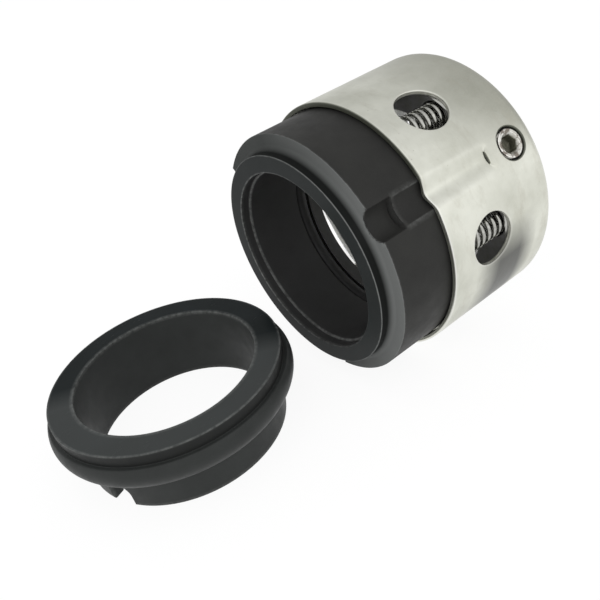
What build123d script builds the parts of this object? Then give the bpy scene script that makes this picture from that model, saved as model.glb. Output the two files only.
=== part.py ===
from build123d import *
import math
import os

# Component mechanical seal for a rotating shaft: a spring-loaded rotary head and its
# stationary seat. The head lies on its side with the shaft axis along X, its running face
# towards -X and its drive end at X = 0. The seat lies beside it, running face up.
# Millimetres, +Z up. The origin is the centre of the shaft bore at the drive end.

# Shaft and the fits around it
SHAFT_R = 19.0          # shaft the seal is made for
SLIDE_FIT = 0.03        # radial room between the shaft and the drive collar
RING_FIT = 0.25         # radial room between the shaft and the seal ring
PRESS_LINE = 0.05       # radial room left between the shell and what is pressed into it
RUNNING_GAP = 0.3       # radial room between the shell and what slides inside it

# Rotary head, lengths measured back from the running face
HEAD_LENGTH = 44.1
SHELL_FRONT = 15.1
SHELL_R = 28.0
SHELL_WALL = 1.0
SHELL_CORNER = 1.8      # outside radius of the drawn corner at the drive end
LIP_WIDTH = 3.6         # width of the shell's inward lip at the drive end

# Drive dents of the shell, pressed in to key the seal ring
DENTS = 3
DENT_END = 30.8
DENT_DEPTH = 1.35       # at the shell's front edge
DENT_END_DEPTH = 0.6    # where the dent dies out at its sheared end
DENT_OUTER_R = 4.8      # section radius outside
SLIT_LENGTH = 2.8
SLIT_WIDTH = 0.5

# Spring windows of the shell
WINDOW_AT = 26.0
WINDOW_R = 5.05

# Seal ring
NOSE_R = 23.4
NOSE_LENGTH = 2.7
RING_BACK = 19.2
FACE_BORE_R = 19.75
FACE_BORE_DEPTH = 2.0
SLOT_R = 3.9            # section radius of the three drive slots
POCKET_R = 3.3          # section radius of the deeper pocket at each slot's front
POCKET_EXTRA = 1.6      # how much deeper the pocket is than the slot
POCKET_END = 8.4
RING_EDGE = 0.35        # edge breaks on the ring

# Shaft O-ring, held in the back of the seal ring
CORD_R = 1.65
CORD_FIT = 0.08

# Thrust disc between the O-ring and the springs
DISC_THICK = 2.0
HUB_FIT = 0.15
HUB_REACH = 0.5         # how far the hub stands in past the ring's edge break
DISC_EDGE = 0.3

# Springs
SPRINGS = 6
WIRE_R = 0.45
FLATS = 12              # flats that stand for the wire's round section
SPRING_PITCH = 1.55
POCKET_FIT = 0.15
SPRING_POCKET_DEPTH = 4.4

# Drive collar
COLLAR_GAP = 0.4        # from the dents' ends to the collar's front face
COLLAR_WALL = 0.41      # metal left on each side of a spring pocket
COLLAR_EDGE = 0.4

# Set screws
SCREW_R = 3.0
SCREW_FIT = 0.03
SCREW_SUNK = 0.35       # head below the shell's outside
SCREW_TIP_GAP = 0.5     # tip short of the shaft bore
SCREW_CHAMFER = 0.45
CUP_R = 1.5
CUP_RIM = 0.25          # flat rim around the cup point
CUP_DEPTH = 0.6
SOCKET_ACROSS = 3.0
SOCKET_DEPTH = 3.2
SOCKET_MOUTH_R = 1.95
SCREW_HOLE_R = 3.7      # hole in the shell around each screw

# Stationary seat, heights measured down from its running face
SEAT_CLEAR = 5.1        # from the head's running face to the seat's edge, along X
SEAT_ASIDE = 11.2       # from the head's axis to the seat's, along Y
SEAT_HEIGHT = 16.6
SEAT_BORE_R = 19.25
SEAT_FACE_R = 24.7
SEAT_STEP = 2.6
SEAT_SHOULDER_R = 25.5
SEAT_FLANGE_R = 26.2
SEAT_WIDEST = 4.7
SEAT_FLANGE_END = 8.4
SEAT_FLANGE_END_R = 23.9
SEAT_BODY_R = 21.9
SEAT_EDGE = 0.4
SEAT_NOTCH_WIDTH = 5.2
SEAT_NOTCH_HEIGHT = 5.0
SEAT_NOTCH_ANGLE = 203.0

# How far every cutting shape runs past the surface it cuts
OVERRUN = 1.0

# Worked out from the sizes above
MIDDLE = (Align.CENTER, Align.CENTER, Align.MIN)
SHELL_INNER_R = SHELL_R - SHELL_WALL
RING_R = SHELL_INNER_R - RUNNING_GAP
RING_BORE_R = SHAFT_R + RING_FIT
DENT_INNER_FLOOR = SHELL_R - DENT_DEPTH - SHELL_WALL
SLOT_FLOOR = DENT_INNER_FLOOR - RUNNING_GAP
CORD_CENTRE_R = SHAFT_R + CORD_FIT + CORD_R
CORD_POCKET_R = CORD_CENTRE_R + CORD_R + CORD_FIT
HUB_LENGTH = RING_EDGE + HUB_REACH
CORD_AT = RING_BACK - HUB_LENGTH - CORD_R
CORD_POCKET_FRONT = CORD_AT - CORD_R
DISC_BACK = RING_BACK + DISC_THICK
COLLAR_FRONT = DENT_END + COLLAR_GAP
COLLAR_R = SHELL_INNER_R - PRESS_LINE
COLLAR_BORE_R = SHAFT_R + SLIDE_FIT
SCREW_AT = (COLLAR_FRONT + HEAD_LENGTH) / 2
SPRING_CIRCLE_R = (COLLAR_R + COLLAR_BORE_R) / 2
SPRING_POCKET_R = (COLLAR_R - COLLAR_BORE_R) / 2 - COLLAR_WALL
SPRING_POCKET_END = COLLAR_FRONT + SPRING_POCKET_DEPTH
SPRING_R = SPRING_POCKET_R - POCKET_FIT
SPRING_LENGTH = SPRING_POCKET_END - DISC_BACK
LIP_R = SHELL_INNER_R - LIP_WIDTH
FLOOR = -SHELL_R
SEAT_X = -HEAD_LENGTH - SEAT_CLEAR - SEAT_FLANGE_R
DENT_ANGLES = [180 + k * 360 / DENTS for k in range(DENTS)]
SPRING_ANGLES = [180 + (k + 0.5) * 360 / SPRINGS for k in range(SPRINGS)]


def at(depth):
    """X of a point this far behind the running face."""
    return depth - HEAD_LENGTH


def bar_x(radius, start, end):
    """Cylinder along X between two depths behind the running face, centred on X."""
    return Pos(at(start), 0, 0) * Rot(0, 90, 0) * Cylinder(radius, end - start, align=MIDDLE)


def turned(points):
    """Solid turned about X from (depth, radius) points."""
    spots = [(at(depth), radius) for depth, radius in points]
    return revolve(make_face(Polyline(*spots, close=True)), axis=Axis.X)


def around(shape, angle):
    """The shape turned about X; 0 is straight up and angles grow towards -Y."""
    return Rot(angle, 0, 0) * shape


def groove(radius, floor, start, end, rise=0.0):
    """Round-bottomed bar at the top of the head whose floor climbs by rise over its length."""
    slope = math.degrees(math.atan2(rise, end - start))
    bar = Rot(0, 90, 0) * Cylinder(radius, end - start + 2 * OVERRUN, align=MIDDLE)
    return Pos(at(start), 0, floor + radius) * Rot(0, -slope, 0) * Pos(-OVERRUN, 0, 0) * bar


def radial_hole(radius, depth):
    """Cylinder from the shaft axis out through the top of the head."""
    return Pos(at(depth), 0, 0) * Cylinder(radius, SHELL_R + OVERRUN, align=MIDDLE)


def retainer_shell():
    shell = bar_x(SHELL_R, SHELL_FRONT, HEAD_LENGTH)
    back_rim = shell.edges().filter_by(GeomType.CIRCLE).sort_by(Axis.X)[-1]
    shell = fillet(back_rim, SHELL_CORNER)
    hollow = bar_x(SHELL_INNER_R, SHELL_FRONT - OVERRUN, HEAD_LENGTH - SHELL_WALL)
    inner_rim = hollow.edges().filter_by(GeomType.CIRCLE).sort_by(Axis.X)[-1]
    hollow = fillet(inner_rim, SHELL_CORNER - SHELL_WALL)
    shell = shell - hollow - bar_x(LIP_R, SHELL_FRONT, HEAD_LENGTH + OVERRUN)
    climb = DENT_DEPTH - DENT_END_DEPTH
    bump_r = SLOT_R - RUNNING_GAP
    band = bar_x(SHELL_INNER_R + SHELL_WALL / 2, SHELL_FRONT, DENT_END)
    for angle in DENT_ANGLES:
        bump = groove(bump_r, DENT_INNER_FLOOR, SHELL_FRONT, DENT_END, climb) & band
        press = groove(DENT_OUTER_R, SHELL_R - DENT_DEPTH, SHELL_FRONT, DENT_END, climb)
        press = press & bar_x(2 * SHELL_R, SHELL_FRONT - 2 * OVERRUN, DENT_END)
        slit = Box(SLIT_WIDTH, SLIT_LENGTH, 2 * (SHELL_WALL + OVERRUN))
        slit = Pos(at(DENT_END), 0, SHELL_R - SHELL_WALL) * slit
        shell = (shell + around(bump, angle)) - around(press, angle) - around(slit, angle)
        shell = shell - around(radial_hole(SCREW_HOLE_R, SCREW_AT), angle)
    for angle in SPRING_ANGLES:
        shell = shell - around(radial_hole(WINDOW_R, WINDOW_AT), angle)
    return shell


def seal_ring():
    ring = turned([
        (0, FACE_BORE_R), (0, NOSE_R), (NOSE_LENGTH, NOSE_R), (NOSE_LENGTH, RING_R - RING_EDGE),
        (NOSE_LENGTH + RING_EDGE, RING_R), (RING_BACK, RING_R),
        (RING_BACK, CORD_POCKET_R + RING_EDGE), (RING_BACK - RING_EDGE, CORD_POCKET_R),
        (CORD_POCKET_FRONT, CORD_POCKET_R), (CORD_POCKET_FRONT, RING_BORE_R),
        (FACE_BORE_DEPTH, RING_BORE_R), (FACE_BORE_DEPTH, FACE_BORE_R),
    ])
    for angle in DENT_ANGLES:
        slot = groove(SLOT_R, SLOT_FLOOR, POCKET_END + OVERRUN, RING_BACK)
        pocket = groove(POCKET_R, SLOT_FLOOR - POCKET_EXTRA, NOSE_LENGTH, POCKET_END - OVERRUN)
        ring = ring - around(slot, angle) - around(pocket, angle)
    return ring


def shaft_o_ring():
    return Pos(at(CORD_AT), 0, 0) * Rot(0, 90, 0) * Torus(CORD_CENTRE_R, CORD_R)


def thrust_disc():
    hub_r = CORD_POCKET_R - HUB_FIT
    disc = turned([
        (RING_BACK - HUB_LENGTH, RING_BORE_R), (RING_BACK - HUB_LENGTH, hub_r),
        (RING_BACK, hub_r), (RING_BACK, RING_R - DISC_EDGE), (RING_BACK + DISC_EDGE, RING_R),
        (DISC_BACK - DISC_EDGE, RING_R), (DISC_BACK, RING_R - DISC_EDGE),
        (DISC_BACK, RING_BORE_R),
    ])
    for angle in DENT_ANGLES:
        disc = disc - around(groove(SLOT_R, SLOT_FLOOR, RING_BACK, DISC_BACK), angle)
    return disc


def drive_collar():
    seat_end = HEAD_LENGTH - SHELL_WALL
    corner = SHELL_CORNER - SHELL_WALL + PRESS_LINE
    spigot_r = LIP_R - PRESS_LINE
    collar = turned([
        (COLLAR_FRONT, COLLAR_BORE_R), (COLLAR_FRONT, COLLAR_R - COLLAR_EDGE),
        (COLLAR_FRONT + COLLAR_EDGE, COLLAR_R), (seat_end - corner, COLLAR_R),
        (seat_end, COLLAR_R - corner), (seat_end, spigot_r),
        (HEAD_LENGTH - COLLAR_EDGE, spigot_r), (HEAD_LENGTH, spigot_r - COLLAR_EDGE),
        (HEAD_LENGTH, COLLAR_BORE_R),
    ])
    pocket = bar_x(SPRING_POCKET_R, COLLAR_FRONT - OVERRUN, SPRING_POCKET_END)
    pocket = Pos(0, 0, SPRING_CIRCLE_R) * pocket
    for angle in SPRING_ANGLES:
        collar = collar - around(pocket, angle)
    for angle in DENT_ANGLES:
        collar = collar - around(radial_hole(SCREW_R + SCREW_FIT, SCREW_AT), angle)
    return collar


def coil_spring():
    """One spring along X at the top of its circle, wound true and ground flat at both ends."""
    coil_r = SPRING_R - WIRE_R
    wound = SPRING_LENGTH + 2 * WIRE_R
    path = Helix(pitch=SPRING_PITCH, height=wound, radius=coil_r)
    section = Plane(origin=path @ 0, z_dir=path % 0) * RegularPolygon(WIRE_R, FLATS)
    coil = Pos(0, 0, -WIRE_R) * sweep(section, path=path, is_frenet=True)
    coil = coil & Cylinder(2 * SPRING_R, SPRING_LENGTH, align=MIDDLE)
    return Pos(at(DISC_BACK), 0, SPRING_CIRCLE_R) * Rot(0, 90, 0) * coil


def set_screw():
    """Cup-point screw standing in the top of the head, socket outwards."""
    top = SHELL_R - SCREW_SUNK
    tip = COLLAR_BORE_R + SCREW_TIP_GAP
    point_r = CUP_R + CUP_RIM
    profile = Polyline(
        (0, tip + CUP_DEPTH), (CUP_R, tip), (point_r, tip), (SCREW_R, tip + SCREW_R - point_r),
        (SCREW_R, top - SCREW_CHAMFER), (SCREW_R - SCREW_CHAMFER, top), (0, top), close=True
    )
    screw = revolve(Plane.XZ * make_face(profile), axis=Axis.Z)
    socket = extrude(RegularPolygon(SOCKET_ACROSS / 2, 6, major_radius=False), SOCKET_DEPTH + OVERRUN)
    mouth_depth = SOCKET_MOUTH_R - SOCKET_ACROSS / 2
    mouth = Cone(SOCKET_ACROSS / 2, SOCKET_MOUTH_R, mouth_depth, align=MIDDLE)
    screw = screw - Pos(0, 0, top - SOCKET_DEPTH) * socket - Pos(0, 0, top - mouth_depth) * mouth
    return Pos(at(SCREW_AT), 0, 0) * screw


def seat():
    def down(radius, depth):
        return (radius, SEAT_HEIGHT - depth)

    base = SEAT_HEIGHT
    outline = [
        Polyline(
            down(SEAT_FLANGE_END_R, SEAT_FLANGE_END), down(SEAT_BODY_R, SEAT_FLANGE_END),
            down(SEAT_BODY_R, base - SEAT_EDGE), down(SEAT_BODY_R - SEAT_EDGE, base),
            down(SEAT_BORE_R + SEAT_EDGE, base), down(SEAT_BORE_R, base - SEAT_EDGE),
            down(SEAT_BORE_R, SEAT_EDGE), down(SEAT_BORE_R + SEAT_EDGE, 0),
            down(SEAT_FACE_R, 0), down(SEAT_FACE_R, SEAT_STEP),
            down(SEAT_SHOULDER_R, SEAT_STEP),
        ),
        ThreePointArc(
            down(SEAT_SHOULDER_R, SEAT_STEP), down(SEAT_FLANGE_R, SEAT_WIDEST),
            down(SEAT_FLANGE_END_R, SEAT_FLANGE_END),
        ),
    ]
    ring = revolve(Plane.XZ * make_face(outline), axis=Axis.Z)
    half = SEAT_NOTCH_WIDTH / 2
    reach = 2 * SEAT_BODY_R
    straight = SEAT_NOTCH_HEIGHT - half
    leg = Box(reach, SEAT_NOTCH_WIDTH, straight, align=(Align.MIN, Align.CENTER, Align.MIN))
    crown = Pos(0, 0, straight) * Rot(0, 90, 0) * Cylinder(half, reach, align=MIDDLE)
    ring = ring - Rot(0, 0, SEAT_NOTCH_ANGLE) * (leg + crown)
    return Pos(SEAT_X, SEAT_ASIDE, FLOOR) * ring


def main():
    os.makedirs("parts", exist_ok=True)
    nodes = {
        "retainer_shell": retainer_shell(),
        "seal_ring": seal_ring(),
        "shaft_o_ring": shaft_o_ring(),
        "thrust_disc": thrust_disc(),
        "drive_collar": drive_collar(),
        "seat": seat(),
    }
    spring = coil_spring()
    for number, angle in enumerate(SPRING_ANGLES, 1):
        nodes[f"spring_{number}"] = around(spring, angle)
    screw = set_screw()
    for number, angle in enumerate(DENT_ANGLES, 1):
        nodes[f"set_screw_{number}"] = around(screw, angle)
    for name, shape in nodes.items():
        export_step(shape, f"parts/{name}.step")


main()
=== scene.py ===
import math

import bpy
import numpy as np
from mathutils import Matrix, Vector

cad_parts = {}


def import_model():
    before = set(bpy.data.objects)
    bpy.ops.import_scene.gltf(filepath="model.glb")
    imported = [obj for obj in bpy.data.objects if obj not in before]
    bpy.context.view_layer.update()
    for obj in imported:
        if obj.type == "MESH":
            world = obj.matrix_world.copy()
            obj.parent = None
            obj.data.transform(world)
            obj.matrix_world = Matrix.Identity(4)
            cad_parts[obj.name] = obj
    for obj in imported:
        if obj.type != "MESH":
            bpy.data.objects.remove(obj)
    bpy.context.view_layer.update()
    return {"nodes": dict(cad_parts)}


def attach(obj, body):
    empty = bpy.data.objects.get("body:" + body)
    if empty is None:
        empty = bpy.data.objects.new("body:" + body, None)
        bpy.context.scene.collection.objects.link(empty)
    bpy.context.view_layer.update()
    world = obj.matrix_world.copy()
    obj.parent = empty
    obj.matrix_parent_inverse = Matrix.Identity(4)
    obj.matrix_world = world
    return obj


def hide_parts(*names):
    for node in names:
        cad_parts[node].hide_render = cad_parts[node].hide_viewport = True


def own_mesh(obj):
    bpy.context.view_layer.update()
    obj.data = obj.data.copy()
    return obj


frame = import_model()

MM = 0.001  # One millimetre, in metres.

# Sizes of the part in millimetres. Depths run back from the running face of the rotary head.
HEAD_LENGTH, TRAVEL = 44.1, 3.0
SHELL_FRONT, SHELL_R, WALL, CORNER, LIP_R = 15.1, 28.0, 1.0, 1.8, 23.4
FRONT_ROUND, LIP_ROUND, INNER_ROUND = 0.25, 0.25, 0.12
DENT_END, DENT_DEPTH, DENT_END_DEPTH = 30.8, 1.35, 0.6
DENT_REACH, DENT_INNER = 3.6, 0.84
SLIT_LENGTH, SLIT_WIDTH = 2.7, 0.32
WINDOW_AT, WINDOW_R = 26.0, 5.25
SCREW_AT, SCREW_R, SCREW_SUNK, SCREW_HOLE_R = 37.65, 3.0, 0.20, 3.36
SCREW_TIP, CUP_R, HEXAGON, THREAD_PITCH, THREAD_DEPTH = 19.53, 1.75, 1.62, 1.0, 0.6
RING_R, NOSE_R, NOSE_LENGTH, RING_BACK = 26.7, 23.4, 2.7, 19.2
FACE_BORE_R, FACE_BORE_DEPTH, RING_BORE_R, COVE = 19.75, 2.0, 19.25, 1.2
SLOT_HALF, SLOT_FLOOR, POCKET_HALF, POCKET_FLOOR, POCKET_END = 2.9, 25.35, 3.2, 23.75, 8.4
CORD_POCKET_R, CORD_POCKET_FRONT, CORD_EDGE = 22.46, 15.05, 0.35
DISC_BACK, COLLAR_FRONT, SPRING_END = 21.2, 31.2, 35.6
SPRING_CIRCLE, SPRING_R, WIRE_R, SPRING_PITCH = 22.99, 3.3, 0.45, 1.55
SEAT_X, SEAT_Y, FLOOR = -75.4, 11.2, -28.0
SEAT_HEIGHT, SEAT_BORE_R, SEAT_FACE_R, SEAT_STEP = 16.6, 19.25, 24.7, 2.6
SEAT_SHOULDER_R, SEAT_FLANGE_R, SEAT_WIDEST, SEAT_UNDER_R, SEAT_UNDER = 25.5, 26.2, 4.7, 23.9, 8.4
SEAT_BODY_R, SEAT_EDGE = 21.9, 0.4
NOTCH_WIDTH, NOTCH_HEIGHT, NOTCH_ANGLE = 5.2, 5.0, 203.0
DENT_ANGLES = [180.0, 300.0, 60.0]
SPRING_ANGLES = [210.0, 270.0, 330.0, 30.0, 90.0, 150.0]

# How the meshes are laid out: the half sizes, round the shell and along it, of the rectangle of the
# grid that each opening is cut from; the height above which the seat's rows no longer follow the
# notch; and the points round a screw and round a wire.
WINDOW_FRAME, SCREW_FRAME, SLIT_FRAME = (6.4, 6.4), (4.3, 4.1), (2.4, 0.9)
NOTCH_FADE, SCREW_COLUMNS, WIRE_COLUMNS = 7.0, 96, 14

# The picture: the camera's azimuth, elevation and roll in degrees, its place in millimetres, and the
# brightness of what is white.
CAMERA_ANGLES, CAMERA_PLACE, CAMERA_LENS = (-29.73, 32.03, -15.89), (-107.65, -107.12, 69.45), 42.0
FLOOR_PAPER, FLOOR_GLOW, FLOOR_SHARE, WORLD_SEEN, WORLD_STRENGTH = 0.96, 1.04, 0.88, 0.893, 1.12


# Mesh helpers ---------------------------------------------------------------------------

def ease(t):
    """0 up to 0, 1 from 1 on, and smooth between."""
    t = np.clip(t, 0.0, 1.0)
    return t * t * (3 - 2 * t)


def lines(keys, steps):
    """Values from the first key to the last, with every key among them and no step too long."""
    out = [keys[0]]
    for a, b, step in zip(keys, keys[1:], steps):
        count = max(1, math.ceil((b - a) / step - 1e-9))
        out.extend(a + (b - a) * (k + 1) / count for k in range(count))
    return np.array(out)


def rounded(corners, steps=4):
    """An open line of (a, b, rounding) corners, with each corner that has a rounding made round."""
    spots = [np.array(c[:2], float) for c in corners]
    out = []
    for k, corner in enumerate(corners):
        size = corner[2] if len(corner) > 2 else 0.0
        if not size:
            out.append(spots[k])
            continue
        before, after = (spots[j] - spots[k] for j in (k - 1, k + 1))
        start, end = (spots[k] + size * v / np.linalg.norm(v) for v in (before, after))
        for t in np.linspace(0, 1, steps + 1):
            out.append((1 - t) ** 2 * start + 2 * t * (1 - t) * spots[k] + t * t * end)
    return out


def spot(depth, radius, angle):
    """Points of the head: angle 0 is up and grows towards -Y."""
    t = np.radians(angle)
    x = depth - HEAD_LENGTH + 0 * (t + radius)
    return np.stack([x, -radius * np.sin(t), radius * np.cos(t)], -1)


def about_x(points, angle):
    """Points at the top of the head, turned to the given angle round its axis."""
    a = math.radians(angle)
    y = points[:, 1] * math.cos(a) - points[:, 2] * math.sin(a)
    z = points[:, 1] * math.sin(a) + points[:, 2] * math.cos(a)
    return np.stack([points[:, 0], y, z], -1)


def grid_faces(rows, columns, wrap_rows=True):
    """Quads between rows, closed round every row and, if wanted, from the last row to the first."""
    index = np.arange(rows * columns).reshape(rows, columns)
    nxt = np.roll(index, -1, 0)
    faces = np.stack([index, nxt, np.roll(nxt, -1, 1), np.roll(index, -1, 1)], -1)
    return faces if wrap_rows else faces[:-1]


def outward(points, faces):
    """The faces, turned round if they enclose a negative volume."""
    volume = 0.0
    for f in faces:
        a, b, c = points[f[0]], points[f[1]], points[f[2]]
        volume += np.dot(a, np.cross(b, c))
        if len(f) == 4:
            volume += np.dot(a, np.cross(c, points[f[3]]))
    return faces if volume > 0 else [list(reversed(f)) for f in faces]


def new_object(name, data):
    """An object in the scene that holds the data."""
    obj = bpy.data.objects.new(name, data)
    bpy.context.scene.collection.objects.link(obj)
    return obj


def piece(name, points, faces, body, stands_for, materials, bevel=None, wear_and_painted_light=None, pick=None):
    """A mesh object from points in millimetres, in place of the named CAD node.

    The list has a value for every point, for worn edges and for painted highlights and painted shade; pick
    gives a face's material from its centre.
    """
    faces = outward(points, [list(map(int, f)) for f in faces])
    mesh = bpy.data.meshes.new(name)
    mesh.from_pydata((points * MM).tolist(), [], faces)
    mesh.validate()
    mesh.polygons.foreach_set("use_smooth", [True] * len(mesh.polygons))
    for m in materials:
        mesh.materials.append(m)
    if pick is not None:
        mesh.polygons.foreach_set("material_index", [pick(p.center) for p in mesh.polygons])
    if wear_and_painted_light is not None:
        mesh.attributes.new("wear_and_painted_light", "FLOAT", "POINT").data.foreach_set("value", wear_and_painted_light.astype(np.float32))
    obj = new_object(name, mesh)
    if bevel:
        edges = obj.modifiers.new("edges", "BEVEL")
        edges.width, edges.segments, edges.limit_method = bevel * MM, 2, "ANGLE"
        edges.angle_limit, edges.use_clamp_overlap = math.radians(38), False
    obj.modifiers.new("normals", "WEIGHTED_NORMAL").weight = 60
    done = bpy.data.meshes.new_from_object(obj.evaluated_get(bpy.context.evaluated_depsgraph_get()))
    obj.modifiers.clear()
    obj.data = done
    done.name = name
    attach(obj, body)
    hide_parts(stands_for)
    return obj


# Materials ------------------------------------------------------------------------------

class Nodes:
    """Short calls for a node tree, with coordinates in millimetres."""

    def __init__(self, name):
        self.material = bpy.data.materials.new(name)
        self.material.use_nodes = True
        self.tree = self.material.node_tree
        self.shader = self.tree.nodes["Principled BSDF"]
        coordinates = self.tree.nodes.new("ShaderNodeTexCoord")
        self.place = self.math3("SCALE", coordinates.outputs["Object"], scale=1000.0)

    def link(self, a, b):
        self.tree.links.new(a, b)

    def math3(self, operation, a, b=None, scale=None):
        n = self.tree.nodes.new("ShaderNodeVectorMath")
        n.operation = operation
        self.link(a, n.inputs[0])
        if b is not None:
            n.inputs[1].default_value = b
        if scale is not None:
            n.inputs["Scale"].default_value = scale
        return n.outputs[0]

    def math(self, operation, a, b=0.0, clamp=False):
        n = self.tree.nodes.new("ShaderNodeMath")
        n.operation, n.use_clamp = operation, clamp
        for socket, value in zip(n.inputs, (a, b)):
            self.fill(socket, value)
        return n.outputs[0]

    def within(self, value, low, high):
        """1 where the value lies between two levels, else 0."""
        n = self.tree.nodes.new("ShaderNodeMath")
        n.operation = "COMPARE"
        self.link(value, n.inputs[0])
        n.inputs[1].default_value, n.inputs[2].default_value = (low + high) / 2, (high - low) / 2
        return n.outputs[0]

    def slope(self, value, low, high):
        """0 below the low level, rising to 1 at the high one."""
        return self.math("MULTIPLY", self.math("SUBTRACT", value, low), 1.0 / (high - low), clamp=True)

    def noise(self, scale, detail=3.0, rough=0.55, stretch=(1, 1, 1), shift=0.0):
        """Noise with the given number of waves per millimetre; the shift tells one from another."""
        moved = self.math3("MULTIPLY_ADD", self.place, stretch)
        moved.node.inputs[2].default_value = (shift, shift, shift)
        n = self.tree.nodes.new("ShaderNodeTexNoise")
        self.link(moved, n.inputs["Vector"])
        n.inputs["Scale"].default_value = scale
        n.inputs["Detail"].default_value = detail
        n.inputs["Roughness"].default_value = rough
        return n.outputs["Fac"]

    def axes(self, vector):
        """The vector's X, Y and Z."""
        n = self.tree.nodes.new("ShaderNodeSeparateXYZ")
        self.link(vector, n.inputs[0])
        return n.outputs

    def cells(self, scale):
        """Distance to the nearest of many scattered points."""
        n = self.tree.nodes.new("ShaderNodeTexVoronoi")
        self.link(self.place, n.inputs["Vector"])
        n.inputs["Scale"].default_value = scale
        return n.outputs["Distance"]

    def ramp(self, value, *stops):
        """Colours or levels by value: stops are (position, level or colour)."""
        n = self.tree.nodes.new("ShaderNodeValToRGB")
        while len(n.color_ramp.elements) < len(stops):
            n.color_ramp.elements.new(0.5)
        for element, (position, colour) in zip(n.color_ramp.elements, stops):
            element.position = position
            level = (colour,) * 3 if isinstance(colour, (int, float)) else colour
            element.color = (*level, 1.0)
        self.link(value, n.inputs["Fac"])
        return n.outputs["Color"]

    def fill(self, socket, value):
        """Sets a socket to a colour or a level, or links it."""
        if isinstance(value, tuple):
            socket.default_value = (*value, 1.0)
        elif isinstance(value, (int, float)):
            socket.default_value = value
        else:
            self.link(value, socket)

    def mix(self, factor, a, b):
        n = self.tree.nodes.new("ShaderNodeMix")
        n.data_type = "RGBA"
        for socket, value in ((n.inputs[0], factor), (n.inputs[6], a), (n.inputs[7], b)):
            self.fill(socket, value)
        return n.outputs[2]

    def blend(self, value, share, a, b):
        """Mixes a share of b into a where the value is 1."""
        return self.mix(self.math("MULTIPLY", value, share), a, b)

    def attribute(self, name):
        n = self.tree.nodes.new("ShaderNodeAttribute")
        n.attribute_name = name
        return n.outputs["Fac"]

    def bump(self, *heights):
        """Bumps laid over each other: (height in millimetres, value)."""
        below = None
        for distance, value in heights:
            n = self.tree.nodes.new("ShaderNodeBump")
            n.inputs["Strength"].default_value = 1.0
            n.inputs["Distance"].default_value = distance * MM
            self.link(value, n.inputs["Height"])
            if below:
                self.link(below, n.inputs["Normal"])
            below = n.outputs["Normal"]
        self.link(below, self.shader.inputs["Normal"])

    def set(self, **values):
        """Fills the shader's own sockets."""
        for name, value in values.items():
            self.fill(self.shader.inputs[name.replace("_", " ")], value)


def shell_steel():
    """Drawn stainless sheet. A point attribute marks polished edges with 1, lightened there as a painted
    highlight; cut ones with 2; and sheared edges and gaps with -1, darkened there as painted shade.
    """
    n = Nodes("satin_stainless")
    x, _, z = n.axes(n.place)
    cloud = n.noise(0.09, 4.0, 0.6, shift=7.0)
    grain = n.noise(2.6, 3.0, 0.7)
    specks = n.ramp(n.cells(0.62), (0.045, 1.0), (0.085, 0.0))
    specks = n.math("MULTIPLY", specks, n.ramp(n.noise(0.16, 2.0, shift=31.0), (0.50, 0.0), (0.62, 1.0)))
    scuffs = n.ramp(n.noise(0.42, 5.0, 0.7, (1.0, 0.4, 0.4), 3.0), (0.52, 0.0), (0.70, 1.0))
    wear_and_painted_light = n.attribute("wear_and_painted_light")
    # Sheared edges and gaps get painted shade; polished edges get polish and a painted highlight.
    sheared_and_shaded = n.math("MULTIPLY", wear_and_painted_light, -1.0, clamp=True)
    polish_and_highlight = n.math("MULTIPLY", wear_and_painted_light, 1.0, clamp=True)
    matt = n.math("SUBTRACT", wear_and_painted_light, 1.0, clamp=True)
    # Painted shade towards the top of the drive end; a painted dark reflection low on the sides.
    painted_top_shade = n.math("MULTIPLY", n.slope(x, -20.0, -2.0), n.slope(z, 10.5, 17.0))
    along = n.math("MULTIPLY", n.slope(x, -5.0, -10.0), n.slope(x, -23.0, -16.0))
    low = n.math("MULTIPLY", n.slope(z, 1.5, -6.5), n.slope(z, -26.0, -16.0))
    low = n.math("MULTIPLY", low, along)
    cut = n.ramp(n.noise(0.8, 4.0, 0.6, shift=17.0), (0.35, (0.40, 0.40, 0.33)), (0.65, (0.66, 0.66, 0.60)))
    colour = n.ramp(cloud, (0.32, (0.582, 0.589, 0.512)), (0.68, (0.780, 0.787, 0.710)))
    for value, share, tone in ((painted_top_shade, 0.60, (0.29, 0.29, 0.235)),
                               (n.ramp(grain, (0.35, 0.0), (0.75, 1.0)), 0.12, (0.80, 0.80, 0.75)),
                               (scuffs, 0.30, (0.46, 0.44, 0.36)), (specks, 0.40, (0.30, 0.27, 0.22)),
                               (low, 0.88, (0.06, 0.061, 0.06)), (polish_and_highlight, 0.55, (0.84, 0.84, 0.80))):
        colour = n.blend(value, share, colour, tone)
    colour = n.mix(sheared_and_shaded, colour, (0.085, 0.090, 0.068))
    colour = n.mix(matt, colour, cut)
    rough = n.math("ADD", n.ramp(cloud, (0.3, 0.34), (0.7, 0.40)), n.math("MULTIPLY", grain, 0.08))
    rough = n.math("ADD", rough, n.math("MULTIPLY", sheared_and_shaded, 0.15))
    rough = n.math("SUBTRACT", rough, n.math("MULTIPLY", polish_and_highlight, 0.10))
    metal = n.math("SUBTRACT", 1.0, n.math("MULTIPLY", sheared_and_shaded, 0.5))
    metal = n.math("SUBTRACT", metal, n.math("MULTIPLY", matt, 0.7))
    n.set(Base_Color=colour, Roughness=rough, Metallic=metal)
    n.bump((0.010, grain), (0.040, n.noise(0.5, 3.0, 0.5, shift=11.0)), (0.006, specks))
    return n.material


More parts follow.
